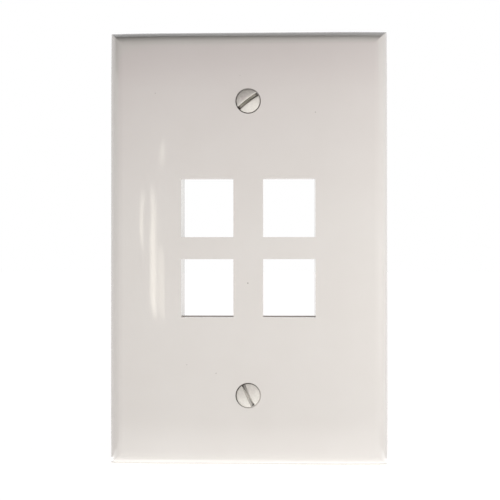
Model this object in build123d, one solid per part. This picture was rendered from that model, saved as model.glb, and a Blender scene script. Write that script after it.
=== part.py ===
from build123d import *
from math import asin, cos, degrees, radians, sin, tan
import os

# Single-gang faceplate with four keystone ports, and the two screws that hold it to a wall box.
#
# It stands upright as on a wall: X is its width, Z its height, and Y runs from the room into the
# wall. The origin is the middle of the wall plane, halfway between the screws, so the moulding's
# rim lies on Y = 0 and its face looks along -Y. Sizes are in millimetres, angles in degrees.

# The moulded shell
PLATE_WIDTH = 79.38
PLATE_HEIGHT = 123.83
PLATE_DEPTH = 6.35
FACE_WALL = 2.4
SKIRT_WALL = 1.8
SKIRT_DRAFT = 2.0
EDGE_RADIUS = 3.0
CORNER_RADIUS = 0.9
INNER_CORNER_RADIUS = 1.5

# The crown: the face is flat in the middle and curves back over a run along each of its sides
CROWN_RUN = 16.0
CROWN_RADIUS = 160.0

# The keystone ports, in columns and rows
PORT_COLUMNS = 2
PORT_ROWS = 2
COLUMN_PITCH = 23.2
PORT_WIDTH = 14.8
PORT_HEIGHT = 16.5

# The hollow tower behind each column of ports. Bars cross its rear, their fronts this deep behind
# the front of the face. A jack's hook goes under the bar below its port, and its latch snaps behind
# the bar above it, past a gap that the port leaves below that bar.
TOWER_WALL = 1.6
TOWER_CORNER_RADIUS = 0.8
BAR_DEPTH = 8.0
BAR_THICKNESS = 1.8
BAR_HEIGHT = 3.35
LATCH_GAP = 2.9
LATCH_REACH = 1.5
HOOK_REACH = 2.0
LEAD_IN = 0.6

# The screws: number 6, 32 threads to the inch, slotted oval head
SCREW_SPACING = 83.34
SCREW_LENGTH = 15.9
THREAD_MAJOR = 3.505
NECK_STEP = 0.2775
NECK_LENGTH = 0.6
TIP_CHAMFER = 0.5
HEAD_DIAMETER = 6.65
HEAD_LAND = 0.2
HEAD_RISE = 1.1
HEAD_ANGLE = 82.0
SLOT_WIDTH = 1.0
SLOT_DEPTH = 1.45
SLOT_LIP = 0.25
UPPER_SLOT_TURN = 37.0
LOWER_SLOT_TURN = -65.0

# The moulding's seat for each screw, sized by gaps round that screw: a countersink, a short hole that
# clears the thread, and a tubular boss with a wider bore
SEAT_MARGIN = 0.275
SEAT_CLEARANCE = 0.06
HOLE_CLEARANCE = 0.35
HOLE_LENGTH = 0.65
BOSS_CLEARANCE = 1.35
BOSS_WALL = 1.4
BOSS_SETBACK = 0.4

# The stiffening ribs on the back of the face
RIB_THICKNESS = 1.0
RIB_HEIGHT = 1.9

# The draft on the towers and bosses, how deep they and the ribs are rooted in the walls that they
# stand on, and how far a cutter overruns what it cuts
BACK_DRAFT = 1.0
ROOT = 0.3
OVERRUN = 2.0

FACE_FRONT = -PLATE_DEPTH
FACE_BACK = FACE_FRONT + FACE_WALL
BAR_FRONT = FACE_FRONT + BAR_DEPTH
TOWER_REAR = BAR_FRONT + BAR_THICKNESS
ROW_PITCH = PORT_HEIGHT + LATCH_GAP + BAR_HEIGHT
HEAD_SLOPE = tan(radians(HEAD_ANGLE / 2))
SEAT_RADIUS = HEAD_DIAMETER / 2 + SEAT_MARGIN
BORE_RADIUS = THREAD_MAJOR / 2 + BOSS_CLEARANCE


def centres(count, pitch):
    """The places of a number of things set out evenly about the middle."""
    return [(index - (count - 1) / 2) * pitch for index in range(count)]


COLUMN_CENTRES = centres(PORT_COLUMNS, COLUMN_PITCH)
ROW_CENTRES = centres(PORT_ROWS, ROW_PITCH)
SCREW_CENTRES = centres(2, SCREW_SPACING)
HOLLOW_TOP = ROW_CENTRES[-1] + PORT_HEIGHT / 2 + LATCH_GAP + LATCH_REACH
HOLLOW_BOTTOM = ROW_CENTRES[0] - PORT_HEIGHT / 2 - HOOK_REACH


def slab(x_range, y_range, z_range):
    """A box that spans a range along each axis."""
    ranges = (x_range, y_range, z_range)
    middle = [(low + high) / 2 for low, high in ranges]
    return Pos(*middle) * Box(*[high - low for low, high in ranges])


def drafted_slab(width, height, y_wide, y_narrow, draft):
    """A slab of this width and height at y_wide, whose four sides lean in towards y_narrow."""
    depth = abs(y_narrow - y_wide)
    lean = depth * tan(radians(draft))
    from_near_end = (Align.CENTER, Align.MIN, Align.CENTER)
    wedge = Wedge(width, depth, height, lean, lean, width - lean, height - lean, align=from_near_end)
    return Pos(0, y_wide, 0) * Rot(0, 0, 180 if y_narrow < y_wide else 0) * wedge


def turned(*outline):
    """A solid turned about the Y axis, from edges that close an outline drawn as (radius, y)."""
    return revolve(make_face(Curve() + list(outline)), Axis.Y)


def crowned_space(y_front):
    """All that lies behind a crowned face: flat in the middle, then curved back along its sides.
    Faces at different depths bend about the same axes, so that a wall between two is even."""
    flat_x, flat_z = PLATE_WIDTH / 2 - CROWN_RUN, PLATE_HEIGHT / 2 - CROWN_RUN
    radius = CROWN_RADIUS - (y_front - FACE_FRONT)
    turn = asin((CROWN_RUN + OVERRUN) / radius)
    outline = Curve() + Line((-flat_x, y_front), (flat_x, y_front))
    ends = []
    for side in (-1, 1):
        start, halfway, end = [
            (side * (flat_x + radius * sin(angle)), y_front + radius * (1 - cos(angle)))
            for angle in (0, turn / 2, turn)
        ]
        outline += ThreePointArc(start, halfway, end)
        ends.append(end)
    behind = [(x, OVERRUN) for x, y in ends]
    outline += Polyline(ends[0], *behind, ends[1])
    section = make_face(outline)
    bend_axis = Axis((0, y_front + radius, flat_z), (-1, 0, 0))
    upper = extrude(section, flat_z) + revolve(Pos(0, 0, flat_z) * section, bend_axis, degrees(turn))
    return upper + mirror(upper, Plane.XY)


def crowned_block(width, height, y_rim, y_front):
    """A block of this width and height at the wall plane, with drafted sides and a crowned front."""
    flare = 2 * y_rim * tan(radians(SKIRT_DRAFT))
    sides = drafted_slab(width + flare, height + flare, y_rim, y_front, SKIRT_DRAFT)
    return sides & crowned_space(y_front)


def with_rolled_edge(block, width, height):
    """The block with its crowned front rolled over into its four sides."""
    outer_edges = [
        edge
        for edge in block.edges()
        if edge.center().Y < FACE_FRONT / 2
        and max(abs(edge.center().X) - width / 2, abs(edge.center().Z) - height / 2) > -EDGE_RADIUS
    ]
    return fillet(outer_edges, EDGE_RADIUS)


def with_round_corners(block, radius):
    """The block with its four upright corners rounded."""
    size = block.bounding_box().size
    outline = Plane.XZ * RectangleRounded(size.X, size.Z, radius)
    return block & extrude(outline, size.Y, both=True)


def shell():
    """The moulded shell: a crowned face with a skirt round it, open at the back."""
    block = crowned_block(PLATE_WIDTH, PLATE_HEIGHT, 0, FACE_FRONT)
    rolled = with_rolled_edge(block, PLATE_WIDTH, PLATE_HEIGHT)
    inner_width, inner_height = PLATE_WIDTH - 2 * SKIRT_WALL, PLATE_HEIGHT - 2 * SKIRT_WALL
    hollow = crowned_block(inner_width, inner_height, OVERRUN, FACE_BACK)
    return with_round_corners(rolled, CORNER_RADIUS) - with_round_corners(hollow, INNER_CORNER_RADIUS)


def tower():
    """The block behind one column of ports, before it is hollowed."""
    width = PORT_WIDTH + 2 * TOWER_WALL
    height = HOLLOW_TOP - HOLLOW_BOTTOM + 2 * TOWER_WALL
    block = drafted_slab(width, height, FACE_BACK - ROOT, TOWER_REAR, BACK_DRAFT)
    upright_edges = block.edges().filter_by(Plane.XZ, reverse=True)
    return Pos(0, 0, (HOLLOW_TOP + HOLLOW_BOTTOM) / 2) * fillet(upright_edges, TOWER_CORNER_RADIUS)


def tower_hollow():
    """The space between the face and the bars, where the hooks and latches of the jacks lie."""
    half = PORT_WIDTH / 2
    return slab((-half, half), (FACE_BACK, BAR_FRONT), (HOLLOW_BOTTOM, HOLLOW_TOP))


def port():
    """One port, from the front of the face to the back of the tower, drawn as a section."""
    top, bottom = PORT_HEIGHT / 2, -PORT_HEIGHT / 2
    mouth = LEAD_IN + OVERRUN
    section = Polyline(
        (FACE_FRONT - OVERRUN, bottom),
        (TOWER_REAR - LEAD_IN, bottom),
        (TOWER_REAR + OVERRUN, bottom - mouth),
        (TOWER_REAR + OVERRUN, top + LATCH_GAP + mouth),
        (TOWER_REAR - LEAD_IN, top + LATCH_GAP),
        (FACE_BACK, top + LATCH_GAP),
        (FACE_BACK, top),
        (FACE_FRONT - OVERRUN, top),
        close=True,
    )
    side_view = Plane((0, 0, 0), x_dir=(0, 1, 0), z_dir=(1, 0, 0))
    return extrude(side_view * make_face(section), PORT_WIDTH / 2, both=True)


def boss():
    """The tubular boss behind one screw hole, before it is bored."""
    root, end = FACE_BACK - ROOT, -BOSS_SETBACK
    radius = BORE_RADIUS + BOSS_WALL
    end_radius = radius - (end - root) * tan(radians(BACK_DRAFT))
    return turned(Polyline((0, root), (radius, root), (end_radius, end), (0, end), close=True))


def screw_seat():
    """What one screw needs cut away: the countersink, the clearance hole and the boss's bore."""
    hole = THREAD_MAJOR / 2 + HOLE_CLEARANCE
    hole_start = FACE_FRONT + (SEAT_RADIUS - hole) / HEAD_SLOPE
    hole_end = hole_start + HOLE_LENGTH
    return turned(
        Polyline(
            (0, FACE_FRONT - OVERRUN),
            (SEAT_RADIUS + OVERRUN * HEAD_SLOPE, FACE_FRONT - OVERRUN),
            (hole, hole_start),
            (hole, hole_end),
            (BORE_RADIUS, hole_end),
            (BORE_RADIUS, OVERRUN),
            (0, OVERRUN),
            close=True,
        )
    )


def rib(x_range, z_range):
    """A low rib on the back of the face."""
    return slab(x_range, (FACE_BACK - ROOT, FACE_BACK + RIB_HEIGHT), z_range)


def ribs():
    """Ribs across the face through both bosses and between the rows of ports, and ribs up it through
    the bosses and the towers. They end in the skirt."""
    side = PLATE_WIDTH / 2 - SKIRT_WALL + ROOT
    end = PLATE_HEIGHT / 2 - SKIRT_WALL + ROOT
    half = RIB_THICKNESS / 2
    across = [rib((-side, side), (z - half, z + half)) for z in (*SCREW_CENTRES, 0)]
    upright = [rib((x - half, x + half), (-end, end)) for x in (*COLUMN_CENTRES, 0)]
    return across + upright


def faceplate():
    """The whole moulding."""
    body = shell() + ribs()
    body += [Pos(x, 0, 0) * tower() for x in COLUMN_CENTRES]
    body += [Pos(0, 0, z) * boss() for z in SCREW_CENTRES]
    body -= [Pos(x, 0, 0) * tower_hollow() for x in COLUMN_CENTRES]
    body -= [Pos(x, 0, z) * port() for x in COLUMN_CENTRES for z in ROW_CENTRES]
    body -= [Pos(0, 0, z) * screw_seat() for z in SCREW_CENTRES]
    return body


def screw(slot_turn):
    """One screw, seated. Its slot is turned from level, anticlockwise as the front shows it."""
    head = HEAD_DIAMETER / 2
    thread = THREAD_MAJOR / 2
    neck = thread - NECK_STEP
    clearance = SEAT_CLEARANCE / cos(radians(HEAD_ANGLE / 2))
    land_rear = FACE_FRONT + (SEAT_RADIUS - clearance - head) / HEAD_SLOPE
    land_front = land_rear - HEAD_LAND
    top = land_front - HEAD_RISE
    neck_start = land_rear + (head - neck) / HEAD_SLOPE
    thread_start = neck_start + NECK_LENGTH
    tip = land_front + SCREW_LENGTH
    dome_radius = (head**2 + HEAD_RISE**2) / (2 * HEAD_RISE)
    halfway = asin(head / dome_radius) / 2
    dome = ThreePointArc(
        (0, top),
        (dome_radius * sin(halfway), top + dome_radius * (1 - cos(halfway))),
        (head, land_front),
    )
    outline = Polyline(
        (head, land_front),
        (head, land_rear),
        (neck, neck_start),
        (neck, thread_start),
        (thread, thread_start + NECK_STEP),
        (thread, tip - TIP_CHAMFER),
        (thread - TIP_CHAMFER, tip),
        (0, tip),
        (0, top),
    )
    slot_sides = (-SLOT_WIDTH / 2, SLOT_WIDTH / 2)
    slot = slab((-HEAD_DIAMETER, HEAD_DIAMETER), (top - OVERRUN, top + SLOT_DEPTH), slot_sides)
    slotted = turned(dome, outline) - slot
    across_dome = [
        edge
        for edge in slotted.edges().filter_by(Plane.XY)
        if edge.center().Y < land_front and edge.length > head
    ]
    return Rot(0, -slot_turn, 0) * fillet(across_dome, SLOT_LIP)


def main():
    lower_centre, upper_centre = SCREW_CENTRES
    pieces = {
        "faceplate": faceplate(),
        "upper_screw": Pos(0, 0, upper_centre) * screw(UPPER_SLOT_TURN),
        "lower_screw": Pos(0, 0, lower_centre) * screw(LOWER_SLOT_TURN),
    }
    os.makedirs("parts", exist_ok=True)
    for name, piece in pieces.items():
        export_step(piece, f"parts/{name}.step")


main()
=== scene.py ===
from math import atan2, cos, pi, radians, sin
from typing import NamedTuple

import bmesh
import bpy
from mathutils import Matrix, Vector


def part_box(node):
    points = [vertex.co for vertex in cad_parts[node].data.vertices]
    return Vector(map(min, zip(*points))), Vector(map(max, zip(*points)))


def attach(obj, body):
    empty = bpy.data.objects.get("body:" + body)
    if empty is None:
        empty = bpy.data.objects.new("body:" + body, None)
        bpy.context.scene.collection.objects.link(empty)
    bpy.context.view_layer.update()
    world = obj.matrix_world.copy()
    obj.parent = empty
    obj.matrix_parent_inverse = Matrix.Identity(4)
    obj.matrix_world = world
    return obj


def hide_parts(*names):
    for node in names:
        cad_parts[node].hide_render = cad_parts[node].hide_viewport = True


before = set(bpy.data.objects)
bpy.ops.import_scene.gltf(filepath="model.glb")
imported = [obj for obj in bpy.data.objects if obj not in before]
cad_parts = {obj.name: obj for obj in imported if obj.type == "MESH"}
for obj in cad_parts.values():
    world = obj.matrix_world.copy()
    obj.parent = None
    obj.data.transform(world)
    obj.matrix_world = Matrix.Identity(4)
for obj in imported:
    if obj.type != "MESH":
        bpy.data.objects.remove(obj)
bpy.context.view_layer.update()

# A single-gang keystone faceplate with its two screws, in a plain studio. Everything is in metres, in
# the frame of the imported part: X is the plate's width, Z its height, and Y runs from the room into the
# wall. The plate's rim lies on Y = 0 and its face looks along -Y. Radiance is in units in which a white
# surface in full light has 1.
MM = 0.001
PLATE_LOW, PLATE_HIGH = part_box("faceplate")
WHITE = (1, 1, 1)
BLACK = (0, 0, 0)

# The camera, fitted to the photograph: a pinhole in front of a point on the plate, with its angles in
# degrees
IMAGE_SIDE_PX = 500
FOCAL_LENGTH_PX = 900
SENSOR_WIDTH_MM = 36
CAMERA_TARGET = Vector((0.32 * MM, 0, -0.49 * MM))
CAMERA_DISTANCE = 260.8 * MM
CAMERA_YAW = 1.71
CAMERA_PITCH = -0.38
CAMERA_ROLL = -0.02
CLIP_START = 10 * MM

# The moulding: its face, the room that its drafted skirt takes up, and the towers behind the two
# columns of ports. The matte inside begins a little in front of the back of the face.
FACE_WALL = 2.4 * MM
SKIRT_ROOM = 2.2 * MM
TOWER_CENTRE = 11.6 * MM
TOWER_HALF_WIDTH = 8.9 * MM
TOWER_HALF_HEIGHT = 25 * MM
MATTE_MARGIN = 0.1 * MM
FACE_FRONT = PLATE_LOW.y
FACE_BACK = FACE_FRONT + FACE_WALL

# The screws' axes lie this far above and below the middle of the plate, with each head in its seat
SCREW_HEIGHT = 41.67 * MM
HEAD_RADIUS = 3.325 * MM
SEAT_RADIUS = 3.6 * MM
SLOT_HALF_WIDTH = 0.5 * MM
SLOT_FLOOR_BELOW_TOP = 1.39 * MM

# The thread, number 6 with 32 turns to the inch, on the shank that it replaces
THREAD_RADIUS = 1.7525 * MM
THREAD_PITCH = 25.4 / 32 * MM
THREAD_DEPTH = 0.61 * THREAD_PITCH
THREAD_CREST = THREAD_PITCH / 8
THREAD_ROOT = THREAD_PITCH / 5
ROOT_BOW = 0.12 * THREAD_DEPTH
THREAD_START = -3.4 * MM
NECK_RADIUS = 1.475 * MM
TIP_CHAMFER = 0.5 * MM
TIP_CLEARANCE = 0.005 * MM
STEPS_PER_TURN = 64
SMOOTH_ANGLE = radians(32)
WELD = 0.001 * MM
SLIVER = 0.002 * MM

# How a screw's faces are told apart. A wall of the slot has less than a given part of its normal along
# the screw's axis, and the slot's floor has more than one and lies at its depth. The shank is what
# reaches past the thread's start, and the screw is zinc from a depth on.
WALL_PART = 0.02
FLOOR_PART = 0.9
SLOT_FLOOR_TOLERANCE = 0.05 * MM
SHANK_MARGIN = 0.05 * MM
ZINC_FROM = FACE_FRONT + 1 * MM

# The order of a screw's materials
HEAD_ENAMEL, SLOT_ENAMEL, SHANK_ZINC = range(3)


class Grain(NamedTuple):
    """Noise in a material: its waves to a metre, how many finer layers it has, and how far either side
    of its middle value it is stretched to a full range."""
    scale: float
    detail: int
    spread: float = 0.5


# The off-white plastic. Its bump is waves over all of it and erosion on the hidden inside.
PLASTIC_LIGHT = (0.714, 0.684, 0.645)
PLASTIC_DARK = (0.704, 0.672, 0.632)
PLASTIC_MOTTLE = Grain(70, 4, 0.15)
PLASTIC_IOR = 1.58
PLASTIC_ROUGHNESS = 0.055
INSIDE_ROUGHNESS = 0.46
PLASTIC_POLISH = Grain(900, 2, 0.2)
PLASTIC_POLISH_RANGE = 0.9, 1.15
WAVES = Grain(55, 1)
WAVE_HEIGHT = 1.6
EROSION = Grain(5200, 3)
EROSION_HEIGHT = 0.35
PLASTIC_BUMP_STRENGTH = 0.35
BUMP_DEPTH = 0.02 * MM

# The light on the photographed face shows it easing into its rolled edge over a wider band than the
# moulding's own radius. This is the width of that band from the plate's outline, and its radius.
EASE_WIDTH = 4.3 * MM
EASE_RADIUS = 7 * MM

# Specks of dust on the face: place across and up from the middle of the wall plane, and radius, in
# millimetres, and how dark each one is
SPECKS = (
    (-0.1, -9.9, 0.22, 0.75),
    (-9.1, -35.4, 0.2, 0.45),
    (19.0, 38.4, 0.2, 0.45),
    (-26.4, 44.0, 0.18, 0.4),
    (-17.4, -33.0, 0.18, 0.35),
    (-2.3, 48.9, 0.17, 0.25),
)
SPECK_COLOUR = (0.13, 0.10, 0.07)

# The screws' enamel, the painted shade in their slots, in the gaps round their heads and in patches on the
# upper head, and zinc plate
ENAMEL = (0.73, 0.70, 0.64)
ENAMEL_SHADE = 0.9
ENAMEL_MOTTLE = Grain(1400, 3, 0.15)
HEAD_ROUGHNESS = 0.22
SLOT_ROUGHNESS = 0.5
ENAMEL_POLISH = Grain(2600, 2, 0.2)
ENAMEL_POLISH_RANGE = 0.85, 1.2
ENAMEL_SPRAY = Grain(1900, 2)
ENAMEL_BUMP_STRENGTH = 0.5
# Painted shade: the colour laid in the gaps round the screws' heads and along and at the ends of their
# slots
PAINTED_SHADE_COLOUR = (0.045, 0.04, 0.032)
GAP_FADE_FROM = SEAT_RADIUS - 0.08 * MM
GAP_FADE_TO = SEAT_RADIUS + 0.07 * MM
GAP_FULL_FROM = 0.7
# Where the painted shade at the ends of a slot begins and where it is full, from the screw's axis
SLOT_END_SHADE_FROM = HEAD_RADIUS - 0.9 * MM
SLOT_END_SHADE_TO = HEAD_RADIUS - 0.2 * MM
# Painted shade in patches on the side of the upper head above its slot: its colour, its patches, its
# thinnest share and how far across the slot it reaches
HEAD_SHADE_COLOUR = (0.30, 0.27, 0.26)
HEAD_SHADE_PATCHES = Grain(1500, 4, 0.15)
HEAD_SHADE_THINNEST = 0.5
HEAD_SHADE_REACH = 3 * SLOT_HALF_WIDTH
ZINC = (0.56, 0.57, 0.58)
ZINC_SHADE = 0.82
ZINC_MOTTLE = Grain(1100, 3, 0.2)
ZINC_POLISH = Grain(2400, 3, 0.2)
ZINC_ROUGHNESS = 0.24, 0.4


class Screw(NamedTuple):
    """A screw's node, which is also its body, the height of its axis, the turn of its slot in degrees, the
    colour of the enamel in its slot, which is painted shade on the upper screw and painted light on the
    lower, and how dark its painted shade is: along the lower side of the slot and at the slot's two ends,
    in patches on the side of the head above the slot, and the least and most in the gap round the head,
    which is most in one direction across and up the face."""
    node: str
    height: float
    slot_turn: float
    slot_painted_tone: tuple
    slot_painted_shade: float
    end_painted_shade: tuple
    head_painted_shade: float
    gap_painted_shade: tuple
    gap_direction: tuple


# The enamel in the upper slot is painted shade and in the lower slot painted light, and the other dark
# amounts given here are painted shade.
SCREWS = (
    Screw(
        node="upper_screw",
        height=SCREW_HEIGHT,
        slot_turn=37,
        slot_painted_tone=(0.43, 0.41, 0.34),
        slot_painted_shade=0.75,
        end_painted_shade=(0.95, 0.95),
        head_painted_shade=0.36,
        gap_painted_shade=(0.6, 1.0),
        gap_direction=(-0.5, -0.86),
    ),
    Screw(
        node="lower_screw",
        height=-SCREW_HEIGHT,
        slot_turn=-65,
        slot_painted_tone=(0.86, 0.83, 0.77),
        slot_painted_shade=0.2,
        end_painted_shade=(0.0, 0.5),
        head_painted_shade=0.0,
        gap_painted_shade=(0.0, 0.95),
        gap_direction=(-0.75, 0.66),
    ),
)

# The surroundings, and the floor, whose own glow keeps it white but for a faint shadow
AMBIENT = 0.48
AMBIENT_COLOUR = (1.0, 0.965, 0.97)
FLOOR_SIDE = 6
FLOOR_Z = PLATE_LOW.z
FLOOR_COLOUR = (0.8, 0.8, 0.8)
FLOOR_ROUGHNESS = 0.9
FLOOR_GLOW = 0.64

# The lamps, which shine at the middle of the wall plane: name, place, width and height, and radiance
LAMPS = (
    ("near_right", (0.12, -0.06, 0), (0.08, 0.12), 1.45),
    ("low_front", (-0.015, -0.2, -0.035), (0.08, 0.04), 6.0),
)

# The card in front of the plate and above it. It is white at its lower edge and fades to its dark shade
# at a height.
CARD_PLANE = -0.6
CARD_REACH = 0.7
CARD_LOW, CARD_DARK_FROM, CARD_HIGH = 0.03, 0.22, 0.5
CARD_SHADE = (0.32, 0.0, 0.16)

# The flag over the plate: how far it reaches to each side, and its height and its far edge at its left
# and right
FLAG_COLOUR = (0.02, 0.02, 0.02)
FLAG_REACH = 0.1
FLAG_NEAR = 0.0
FLAG_LEFT, FLAG_LEFT_FAR = 0.065, -0.045
FLAG_RIGHT, FLAG_RIGHT_FAR = 0.082, -0.025

# The bright patch on the floor in front of the plate. It widens away from the plate, and is brightest
# at the plate and white from a distance on.
PATCH_RADIANCE = 2.8
PATCH_NEAR, PATCH_WHITE_FROM, PATCH_FAR = 0.0, -0.055, -0.9
PATCH_NEAR_REACH, PATCH_FAR_REACH = 0.05, 0.25
PATCH_RISE = 1 * MM

# The bright card at the lower right, which the rolled edge and the screws' heads mirror
SIDE_CARD_PLACE = (0.17, -0.10, -0.02)
SIDE_CARD_WIDTH, SIDE_CARD_HEIGHT = 0.12, 0.06
SIDE_CARD_RADIANCE = 1.5

# The bright ribbons that the glossy face mirrors as streaks at its left. They stand in one plane, and
# each has a radiance and a row of points: X, Z and width, in millimetres.
STREAK_PLANE = -0.6
STREAK_COLOUR = (1.0, 0.965, 0.85)
STREAKS = (
    ("streak_left", 5.4, (
        (-165.5, 62.7, 0), (-167.4, 56, 6), (-169.9, 46.5, 8), (-171.2, 34, 8), (-171.2, 20.7, 7.5),
        (-168, 12.1, 6), (-163.6, 3.5, 0),
    )),
    ("streak_main", 5.4, (
        (-140, 66.5, 0), (-136.8, 57.9, 7), (-134.3, 46.5, 11), (-133.4, 36, 11), (-135.6, 20.7, 12),
        (-135.6, 3.5, 13), (-134.6, -20.4, 13), (-134.6, -42.3, 13), (-131.8, -52.8, 10),
        (-126.4, -63.4, 0),
    )),
    ("streak_beside", 3, (
        (-120.3, 9.2, 0), (-117.2, -2.2, 12), (-115.7, -44.2, 14), (-111.1, -61.4, 14),
        (-109.6, -76.7, 0),
    )),
    ("streak_upper", 3.5, (
        (-114.1, 110.5, 0), (-112.6, 99, 12), (-115.6, 89.5, 12), (-112.6, 81.8, 0),
    )),
)

# The vector operations whose result is a number, and the sockets of a mix node that mixes colours
GIVES_NUMBER = ("DOT_PRODUCT", "DISTANCE", "LENGTH")
MIX_FACTOR, MIX_FIRST, MIX_SECOND, MIX_RESULT = 0, 6, 7, 2


def new_material(name):
    """A new material, with its node tree and its Principled shader."""
    material = bpy.data.materials.new(name)
    material.use_nodes = True
    return material, material.node_tree, material.node_tree.nodes["Principled BSDF"]


def set_inputs(tree, node, inputs):
    """Sets a node's inputs. One whose value is the output socket of another node is linked to it."""
    for key, value in inputs.items():
        if isinstance(value, bpy.types.NodeSocket):
            tree.links.new(value, node.inputs[key])
        else:
            node.inputs[key].default_value = value


def add_node(tree, kind, inputs=None, **settings):
    """A new node of a kind, with its inputs and its settings."""
    node = tree.nodes.new(kind)
    for key, value in settings.items():
        setattr(node, key, value)
    set_inputs(tree, node, inputs or {})
    return node


def maths(tree, operation, *values):
    """The result of an operation on numbers and sockets."""
    return add_node(tree, "ShaderNodeMath", dict(enumerate(values)), operation=operation).outputs[0]


def vector_maths(tree, operation, *values):
    """The result of an operation on vectors and sockets, which is a number or a vector."""
    node = add_node(tree, "ShaderNodeVectorMath", dict(enumerate(values)), operation=operation)
    return node.outputs["Value" if operation in GIVES_NUMBER else "Vector"]


def opaque(colour):
    """A colour of three numbers as the four that a socket takes. A socket stays as it is."""
    return colour if isinstance(colour, bpy.types.NodeSocket) else (*colour, 1)


def mix_colours(tree, factor, first, second):
    """A mix of two colours, each a socket or three numbers."""
    inputs = {MIX_FACTOR: factor, MIX_FIRST: opaque(first), MIX_SECOND: opaque(second)}
    return add_node(tree, "ShaderNodeMix", inputs, data_type="RGBA").outputs[MIX_RESULT]


def object_place(tree):
    """The place of the shaded point in the object's own coordinates."""
    return add_node(tree, "ShaderNodeTexCoord").outputs["Object"]


def split_axes(tree, place):
    """The X, Y and Z of a place."""
    return add_node(tree, "ShaderNodeSeparateXYZ", {0: place}).outputs


def rescale(tree, value, low, high, new_low, new_high):
    """A value rescaled from one range to another, and kept inside it."""
    inputs = {"Value": value, "From Min": low, "From Max": high, "To Min": new_low, "To Max": new_high}
    return add_node(tree, "ShaderNodeMapRange", inputs).outputs[0]


def noise(tree, place, grain):
    """A grain's value at a place."""
    inputs = {"Vector": place, "Scale": grain.scale, "Detail": grain.detail}
    return add_node(tree, "ShaderNodeTexNoise", inputs).outputs["Fac"]


def uneven(tree, place, grain, low, high):
    """A number that wanders between two values with a grain."""
    return rescale(tree, noise(tree, place, grain), 0.5 - grain.spread, 0.5 + grain.spread, low, high)


def uneven_roughness(tree, place, grain, roughness, polish_range):
    """A roughness that wanders with a grain, between two shares of itself."""
    least, most = polish_range
    return uneven(tree, place, grain, roughness * least, roughness * most)


def between(tree, value, low, high):
    """1 where a value lies between two limits, else 0."""
    above = maths(tree, "GREATER_THAN", value, low)
    below = maths(tree, "LESS_THAN", value, high)
    return maths(tree, "MULTIPLY", above, below)


def inside_mask(tree, place):
    """1 on the hidden inside of the moulding and 0 on the face, the skirt and the towers."""
    x, y, z = split_axes(tree, place)
    across = maths(tree, "ABSOLUTE", x)
    along = maths(tree, "ABSOLUTE", z)
    behind = maths(tree, "GREATER_THAN", y, FACE_BACK - MATTE_MARGIN)
    within_x = maths(tree, "LESS_THAN", across, PLATE_HIGH.x - SKIRT_ROOM)
    within_z = maths(tree, "LESS_THAN", along, PLATE_HIGH.z - SKIRT_ROOM)
    within = maths(tree, "MULTIPLY", behind, maths(tree, "MULTIPLY", within_x, within_z))
    tower_x = between(tree, across, TOWER_CENTRE - TOWER_HALF_WIDTH, TOWER_CENTRE + TOWER_HALF_WIDTH)
    tower_z = maths(tree, "LESS_THAN", along, TOWER_HALF_HEIGHT)
    tower = maths(tree, "MULTIPLY", tower_x, tower_z)
    return maths(tree, "MULTIPLY", within, maths(tree, "SUBTRACT", 1, tower))


def edge_ease(tree, place):
    """The height of the face, in metres, which falls from 0 where it eases into its rolled edge."""
    x, _, z = split_axes(tree, place)
    from_side = maths(tree, "SUBTRACT", PLATE_HIGH.x, maths(tree, "ABSOLUTE", x))
    from_end = maths(tree, "SUBTRACT", PLATE_HIGH.z, maths(tree, "ABSOLUTE", z))
    nearest = maths(tree, "MINIMUM", from_side, from_end)
    within = maths(tree, "MAXIMUM", maths(tree, "SUBTRACT", EASE_WIDTH, nearest), 0)
    square = maths(tree, "MULTIPLY", within, within)
    return maths(tree, "MULTIPLY", square, -1 / (2 * EASE_RADIUS))


def plastic_normal(tree, place, inside):
    """The plastic's surface: faint waves, erosion on the hidden inside, and the ease at its edge."""
    eroded = maths(tree, "MULTIPLY", inside, noise(tree, place, EROSION))
    erosion = maths(tree, "MULTIPLY", eroded, EROSION_HEIGHT)
    height = maths(tree, "MULTIPLY_ADD", noise(tree, place, WAVES), WAVE_HEIGHT, erosion)
    inputs = {"Height": height, "Strength": PLASTIC_BUMP_STRENGTH, "Distance": BUMP_DEPTH}
    bump = add_node(tree, "ShaderNodeBump", inputs)
    inputs = {"Height": edge_ease(tree, place), "Strength": 1, "Distance": 1, "Normal": bump.outputs[0]}
    return add_node(tree, "ShaderNodeBump", inputs).outputs[0]


def with_specks(tree, place, colour):
    """A colour under the specks of dust."""
    for x, z, radius, darkness in SPECKS:
        distance = vector_maths(tree, "DISTANCE", place, (x * MM, FACE_FRONT, z * MM))
        cover = rescale(tree, distance, radius * MM / 2, radius * MM, darkness, 0)
        colour = mix_colours(tree, cover, colour, SPECK_COLOUR)
    return colour


def from_axis(tree, place, screw):
    """How far a place lies from a screw's axis, as a vector."""
    return vector_maths(tree, "SUBTRACT", place, (0, 0, screw.height))


def gap_painted_shade(tree, place, screw):
    """How much painted shade darkens a place in the gap round a screw's head, where shade falls."""
    x, z = screw.gap_direction
    offset = vector_maths(tree, "MULTIPLY", from_axis(tree, place, screw), (1, 0, 1))
    direction = vector_maths(tree, "NORMALIZE", offset)
    likeness = vector_maths(tree, "DOT_PRODUCT", direction, (x, 0, z))
    amount = rescale(tree, likeness, -1, GAP_FULL_FROM, *screw.gap_painted_shade)
    distance = vector_maths(tree, "LENGTH", offset)
    in_gap = rescale(tree, distance, GAP_FADE_FROM, GAP_FADE_TO, 1, 0)
    return maths(tree, "MULTIPLY", in_gap, amount)


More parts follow.
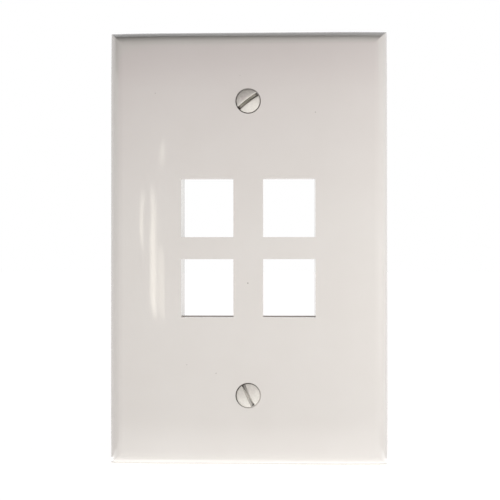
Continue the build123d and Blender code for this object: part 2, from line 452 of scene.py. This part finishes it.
def plastic():
    """The moulding's off-white plastic: glossy and faintly mottled outside, with its specks of dust and the
    painted shade in the gaps round the screws, and a finely eroded matte on its hidden inside."""
    material, tree, shader = new_material("off_white_plastic")
    place = object_place(tree)
    mottle = uneven(tree, place, PLASTIC_MOTTLE, 0, 1)
    colour = with_specks(tree, place, mix_colours(tree, mottle, PLASTIC_DARK, PLASTIC_LIGHT))
    # Painted shade in the gap round each screw's head
    for screw in SCREWS:
        colour = mix_colours(tree, gap_painted_shade(tree, place, screw), colour, PAINTED_SHADE_COLOUR)
    inside = inside_mask(tree, place)
    gloss = uneven_roughness(tree, place, PLASTIC_POLISH, PLASTIC_ROUGHNESS, PLASTIC_POLISH_RANGE)
    roughness = maths(tree, "MULTIPLY_ADD", inside, INSIDE_ROUGHNESS - PLASTIC_ROUGHNESS, gloss)
    normal = plastic_normal(tree, place, inside)
    inputs = {"Base Color": colour, "Roughness": roughness, "Normal": normal, "IOR": PLASTIC_IOR}
    set_inputs(tree, shader, inputs)
    return material


def slot_place(tree, place, screw):
    """How far a place lies along a screw's slot and across it, from the screw's axis."""
    offset = from_axis(tree, place, screw)
    turn = radians(screw.slot_turn)
    along = vector_maths(tree, "DOT_PRODUCT", offset, (cos(turn), 0, sin(turn)))
    across = vector_maths(tree, "DOT_PRODUCT", offset, (-sin(turn), 0, cos(turn)))
    return along, across


def slot_painted_shade(tree, place, screw):
    """How much painted shade darkens a screw's slot, along its lower side and at its two ends."""
    along, across = slot_place(tree, place, screw)
    shade_amount = rescale(tree, across, -SLOT_HALF_WIDTH, 0, screw.slot_painted_shade, 0)
    for side, amount in zip((-1, 1), screw.end_painted_shade):
        outward = maths(tree, "MULTIPLY", along, side)
        end = rescale(tree, outward, SLOT_END_SHADE_FROM, SLOT_END_SHADE_TO, 0, amount)
        shade_amount = maths(tree, "MAXIMUM", shade_amount, end)
    return shade_amount


def head_painted_shade(tree, place, screw):
    """How much painted shade, in patches, darkens the side of a screw's head above its slot."""
    across = slot_place(tree, place, screw)[1]
    side = rescale(tree, across, SLOT_HALF_WIDTH, HEAD_SHADE_REACH, 0, screw.head_painted_shade)
    return maths(tree, "MULTIPLY", side, uneven(tree, place, HEAD_SHADE_PATCHES, HEAD_SHADE_THINNEST, 1))


def mottled(tree, place, grain, colour, shade):
    """A colour that wanders with a grain to a darker shade of itself."""
    darker = tuple(shade * value for value in colour)
    return mix_colours(tree, uneven(tree, place, grain, 0, 1), darker, colour)


def enamel(name, colour, roughness, painted_shade, shade_colour, screw):
    """Sprayed enamel, faintly uneven, under its painted shade. The painted shade is a function of the node
    tree, the place and the screw, which gives how much of it there is."""
    material, tree, shader = new_material(name)
    place = object_place(tree)
    paint = mottled(tree, place, ENAMEL_MOTTLE, colour, ENAMEL_SHADE)
    height = noise(tree, place, ENAMEL_SPRAY)
    bump = {"Height": height, "Strength": ENAMEL_BUMP_STRENGTH, "Distance": BUMP_DEPTH}
    inputs = {
        # The paint under its painted shade
        "Base Color": mix_colours(tree, painted_shade(tree, place, screw), paint, shade_colour),
        "Roughness": uneven_roughness(tree, place, ENAMEL_POLISH, roughness, ENAMEL_POLISH_RANGE),
        "Normal": add_node(tree, "ShaderNodeBump", bump).outputs[0],
    }
    set_inputs(tree, shader, inputs)
    return material


def zinc_plate():
    """The zinc plate on a screw's shank."""
    material, tree, shader = new_material("zinc_plated_steel")
    place = object_place(tree)
    inputs = {
        "Base Color": mottled(tree, place, ZINC_MOTTLE, ZINC, ZINC_SHADE),
        "Roughness": uneven(tree, place, ZINC_POLISH, *ZINC_ROUGHNESS),
        "Metallic": 1,
    }
    set_inputs(tree, shader, inputs)
    return material


def dress_plate():
    """Gives the faceplate its plastic."""
    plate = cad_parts["faceplate"]
    plate.data.materials.clear()
    plate.data.materials.append(plastic())


def thread_outline():
    """One pitch of the thread's outline, as (distance along the shank, radius)."""
    flank = (THREAD_PITCH - THREAD_CREST - THREAD_ROOT) / 2
    root_radius = THREAD_RADIUS - THREAD_DEPTH
    middle_radius = (THREAD_RADIUS + root_radius) / 2
    root_start = THREAD_CREST + flank
    return (
        (0, THREAD_RADIUS),
        (THREAD_CREST, THREAD_RADIUS),
        (THREAD_CREST + flank / 2, middle_radius),
        (root_start, root_radius + ROOT_BOW),
        (root_start + THREAD_ROOT / 2, root_radius),
        (root_start + THREAD_ROOT, root_radius + ROOT_BOW),
        (THREAD_PITCH - flank / 2, middle_radius),
        (THREAD_PITCH, THREAD_RADIUS),
    )


def envelope(y, tip):
    """The largest radius of the threaded shank at a depth: it grows from the neck and is chamfered
    at the tip."""
    return min(THREAD_RADIUS, NECK_RADIUS + y - THREAD_START, THREAD_RADIUS - TIP_CHAMFER + tip - y)


def round_axis(angle, radius, y, axis_z):
    """The point at an angle, a radius and a depth round the line X = 0, Z = axis_z."""
    return radius * sin(angle), y, axis_z + radius * cos(angle)


def add_thread(mesh, axis_z, tip):
    """Adds a right-hand threaded shank about the line X = 0, Z = axis_z, with its end face. It starts
    one turn before the neck and ends one turn past the tip, and is cut off flat at both."""
    outline = thread_outline()
    turns = (tip - THREAD_START) / THREAD_PITCH + 2
    step_angle = 2 * pi / STEPS_PER_TURN
    rows = []
    for step in range(int(turns * STEPS_PER_TURN) + 1):
        start = THREAD_START - THREAD_PITCH + THREAD_PITCH * step / STEPS_PER_TURN
        row = []
        for along, radius in outline:
            y = min(max(start + along, THREAD_START), tip)
            point = round_axis(step * step_angle, min(radius, envelope(y, tip)), y, axis_z)
            row.append(mesh.verts.new(point))
        rows.append(row)
    faces = []
    for row, following in zip(rows, rows[1:]):
        for k in range(len(outline) - 1):
            faces.append(mesh.faces.new((row[k], following[k], following[k + 1], row[k + 1])))
    end = [round_axis(step * step_angle, envelope(tip, tip), tip, axis_z) for step in range(STEPS_PER_TURN)]
    faces.append(mesh.faces.new([mesh.verts.new(point) for point in end]))
    return faces


def in_slot(face, axis_z, slot_floor):
    """Whether a face of the head is a wall or the floor of its slot."""
    centre = face.calc_center_median()
    across = abs(Vector((centre.x, 0, centre.z - axis_z)).dot(face.normal))
    wall = abs(face.normal.y) < WALL_PART and across < 2 * SLOT_HALF_WIDTH and centre.y < slot_floor
    floor = face.normal.y < -FLOOR_PART and abs(centre.y - slot_floor) < SLOT_FLOOR_TOLERANCE
    return wall or floor


def head_material(face, axis_z, slot_floor):
    """Which of a screw's materials a face of its head or neck has."""
    if face.calc_center_median().y > ZINC_FROM:
        return SHANK_ZINC
    return SLOT_ENAMEL if in_slot(face, axis_z, slot_floor) else HEAD_ENAMEL


def threaded_mesh(node, name):
    """A mesh with the head of a screw's node, and a real thread in place of its plain shank. Its faces
    already have the places of their materials."""
    low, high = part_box(node)
    axis_z = (low.z + high.z) / 2
    slot_floor = low.y + SLOT_FLOOR_BELOW_TOP
    mesh = bmesh.new()
    mesh.from_mesh(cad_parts[node].data)
    bmesh.ops.remove_doubles(mesh, verts=mesh.verts, dist=WELD)
    shank = [vert for vert in mesh.verts if vert.co.y > THREAD_START + SHANK_MARGIN]
    bmesh.ops.delete(mesh, geom=shank, context="VERTS")
    mesh.normal_update()
    for face in mesh.faces:
        face.material_index = head_material(face, axis_z, slot_floor)
    for face in add_thread(mesh, axis_z, high.y - TIP_CLEARANCE):
        face.material_index = SHANK_ZINC
    bmesh.ops.dissolve_degenerate(mesh, edges=mesh.edges, dist=SLIVER)
    bmesh.ops.remove_doubles(mesh, verts=mesh.verts, dist=WELD)
    bmesh.ops.recalc_face_normals(mesh, faces=mesh.faces)
    for face in mesh.faces:
        face.smooth = True
    data = bpy.data.meshes.new(name)
    mesh.to_mesh(data)
    mesh.free()
    data.set_sharp_from_angle(angle=SMOOTH_ANGLE)
    return data


def dress_screw(screw):
    """Replaces a screw with one that has the same head and a real thread, in its three materials."""
    node = body = screw.node
    name = node + "_threaded"
    data = threaded_mesh(node, name)
    # The head's enamel carries the painted shade above its slot
    data.materials.append(enamel(node + "_enamel", ENAMEL, HEAD_ROUGHNESS, head_painted_shade, HEAD_SHADE_COLOUR, screw))
    # The slot's enamel is painted shade on the upper screw and painted light on the lower, with painted
    # shade along its lower side and at its ends
    slot_name, slot_painted_tone = node + "_slot", screw.slot_painted_tone
    data.materials.append(enamel(slot_name, slot_painted_tone, SLOT_ROUGHNESS, slot_painted_shade, PAINTED_SHADE_COLOUR, screw))
    data.materials.append(zinc_plate())
    piece = bpy.data.objects.new(name, data)
    bpy.context.scene.collection.objects.link(piece)
    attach(piece, body)
    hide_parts(node)


def seen_directly(tree):
    """1 for what the camera sees directly, or in metal, gloss or glass, and 0 for other light."""
    path = add_node(tree, "ShaderNodeLightPath").outputs
    either = maths(tree, "MAXIMUM", path["Is Camera Ray"], path["Is Glossy Ray"])
    return maths(tree, "MAXIMUM", either, path["Is Transmission Ray"])


def make_world():
    """White surroundings, whose light on the object is dimmer and slightly pink."""
    world = bpy.data.worlds.new("studio")
    world.use_nodes = True
    bpy.context.scene.world = world
    tree = world.node_tree
    tree.nodes.clear()
    dim = add_node(tree, "ShaderNodeBackground", {"Color": opaque(AMBIENT_COLOUR), "Strength": AMBIENT})
    white = add_node(tree, "ShaderNodeBackground", {"Color": opaque(WHITE), "Strength": 1})
    inputs = {0: seen_directly(tree), 1: dim.outputs[0], 2: white.outputs[0]}
    mix = add_node(tree, "ShaderNodeMixShader", inputs)
    add_node(tree, "ShaderNodeOutputWorld", {0: mix.outputs[0]})


def glowing_material(name, colour=WHITE, radiance=1):
    """A black material that glows, with its node tree and its shader."""
    material, tree, shader = new_material(name)
    inputs = {
        "Base Color": opaque(BLACK),
        "Specular IOR Level": 0,
        "Emission Color": opaque(colour),
        "Emission Strength": radiance,
    }
    set_inputs(tree, shader, inputs)
    return material, tree, shader


def stage_strip(name, pairs, material):
    """A flat strip that belongs to the studio and not to the part. It runs from one pair of points to
    the next."""
    data = bpy.data.meshes.new(name)
    points = [point for pair in pairs for point in pair]
    data.from_pydata(points, [], [(k, k + 1, k + 3, k + 2) for k in range(0, len(points) - 2, 2)])
    data.materials.append(material)
    obj = bpy.data.objects.new(name, data)
    bpy.context.scene.collection.objects.link(obj)
    return obj


def only_mirrored(obj):
    """Shows a studio piece in the gloss of the part and nowhere else."""
    obj.visible_camera = False
    obj.visible_diffuse = False
    obj.visible_transmission = False
    obj.visible_shadow = False


def make_floor():
    """The pale floor that the plate stands on."""
    material, tree, shader = new_material("pale_floor")
    inputs = {
        "Base Color": opaque(FLOOR_COLOUR),
        "Roughness": FLOOR_ROUGHNESS,
        "Specular IOR Level": 0,
        "Emission Color": opaque(WHITE),
        "Emission Strength": FLOOR_GLOW,
    }
    set_inputs(tree, shader, inputs)
    half = FLOOR_SIDE / 2
    stage_strip("floor", [((-half, y, FLOOR_Z), (half, y, FLOOR_Z)) for y in (-half, half)], material)


def make_graded_card():
    """The card whose mirror image darkens the top of the face."""
    material, tree, shader = glowing_material("graded_card")
    height = split_axes(tree, object_place(tree))["Z"]
    darkness = rescale(tree, height, CARD_LOW, CARD_DARK_FROM, 0, 1)
    set_inputs(tree, shader, {"Emission Color": mix_colours(tree, darkness, WHITE, CARD_SHADE)})
    sides = (-CARD_REACH, CARD_REACH)
    pairs = [((side, CARD_PLANE, CARD_LOW), (side, CARD_PLANE, CARD_HIGH)) for side in sides]
    only_mirrored(stage_strip("graded_card", pairs, material))


def make_flag():
    """The flag, which keeps the top of the plate darker, and more so at its left."""
    material, tree, shader = new_material("flag")
    set_inputs(tree, shader, {"Base Color": opaque(FLAG_COLOUR), "Specular IOR Level": 0})
    far = ((-FLAG_REACH, FLAG_LEFT_FAR, FLAG_LEFT), (FLAG_REACH, FLAG_RIGHT_FAR, FLAG_RIGHT))
    near = ((-FLAG_REACH, FLAG_NEAR, FLAG_LEFT), (FLAG_REACH, FLAG_NEAR, FLAG_RIGHT))
    stage_strip("flag", (far, near), material).visible_camera = False


def make_bright_patch():
    """The patch on the floor that the bottom of the face mirrors."""
    material, tree, shader = glowing_material("bright_patch")
    depth = split_axes(tree, object_place(tree))["Y"]
    radiance = rescale(tree, depth, PATCH_WHITE_FROM, PATCH_NEAR, 1, PATCH_RADIANCE)
    set_inputs(tree, shader, {"Emission Strength": radiance})
    ends = ((PATCH_FAR, PATCH_FAR_REACH), (PATCH_NEAR, PATCH_NEAR_REACH))
    height = FLOOR_Z + PATCH_RISE
    pairs = [((-reach, end, height), (reach, end, height)) for end, reach in ends]
    only_mirrored(stage_strip("bright_patch", pairs, material))


def make_side_card():
    """The bright card at the lower right, turned to face the middle of the plate."""
    material = glowing_material("side_card", radiance=SIDE_CARD_RADIANCE)[0]
    half_width, half_height = SIDE_CARD_WIDTH / 2, SIDE_CARD_HEIGHT / 2
    pairs = [((side, 0, -half_height), (side, 0, half_height)) for side in (-half_width, half_width)]
    card = stage_strip("side_card", pairs, material)
    card.location = SIDE_CARD_PLACE
    card.rotation_euler.z = atan2(card.location.x, -card.location.y)
    only_mirrored(card)


def make_streaks():
    """The bright ribbons that the face mirrors."""
    for name, radiance, points in STREAKS:
        material = glowing_material(name, STREAK_COLOUR, radiance)[0]
        pairs = [
            [((x + side * width / 2) * MM, STREAK_PLANE, z * MM) for side in (-1, 1)]
            for x, z, width in points
        ]
        only_mirrored(stage_strip(name, pairs, material))


def make_lamps():
    """The soft rectangular lamps. They light the part without showing in its gloss."""
    for name, place, (width, height), radiance in LAMPS:
        light = bpy.data.lights.new(name, "AREA")
        light.shape = "RECTANGLE"
        light.size = width
        light.size_y = height
        light.energy = radiance * pi * width * height
        lamp = bpy.data.objects.new(name, light)
        lamp.location = place
        lamp.rotation_euler = (-lamp.location).to_track_quat("-Z", "Y").to_euler()
        lamp.visible_camera = False
        lamp.visible_glossy = False
        bpy.context.scene.collection.objects.link(lamp)


def make_camera():
    """The camera at the photograph's viewing angle."""
    yaw, pitch, roll = radians(CAMERA_YAW), radians(CAMERA_PITCH), radians(CAMERA_ROLL)
    back = Vector((sin(yaw) * cos(pitch), -cos(yaw) * cos(pitch), sin(pitch)))
    right = Vector((cos(yaw), sin(yaw), 0))
    up = back.cross(right)
    turned_right = cos(roll) * right + sin(roll) * up
    turned_up = -sin(roll) * right + cos(roll) * up
    camera = bpy.data.cameras.new("camera")
    camera.sensor_width = SENSOR_WIDTH_MM
    camera.lens = FOCAL_LENGTH_PX / IMAGE_SIDE_PX * SENSOR_WIDTH_MM
    camera.clip_start = CLIP_START
    obj = bpy.data.objects.new("camera", camera)
    turn = Matrix((turned_right, turned_up, back)).transposed().to_4x4()
    obj.matrix_world = Matrix.Translation(CAMERA_TARGET + back * CAMERA_DISTANCE) @ turn
    bpy.context.scene.collection.objects.link(obj)
    bpy.context.scene.camera = obj


def main():
    """Dresses the part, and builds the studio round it."""
    dress_plate()
    for screw in SCREWS:
        dress_screw(screw)
    make_world()
    make_floor()
    make_graded_card()
    make_flag()
    make_bright_patch()
    make_side_card()
    make_streaks()
    make_lamps()
    make_camera()
    bpy.context.scene.view_settings.view_transform = "Standard"


main()
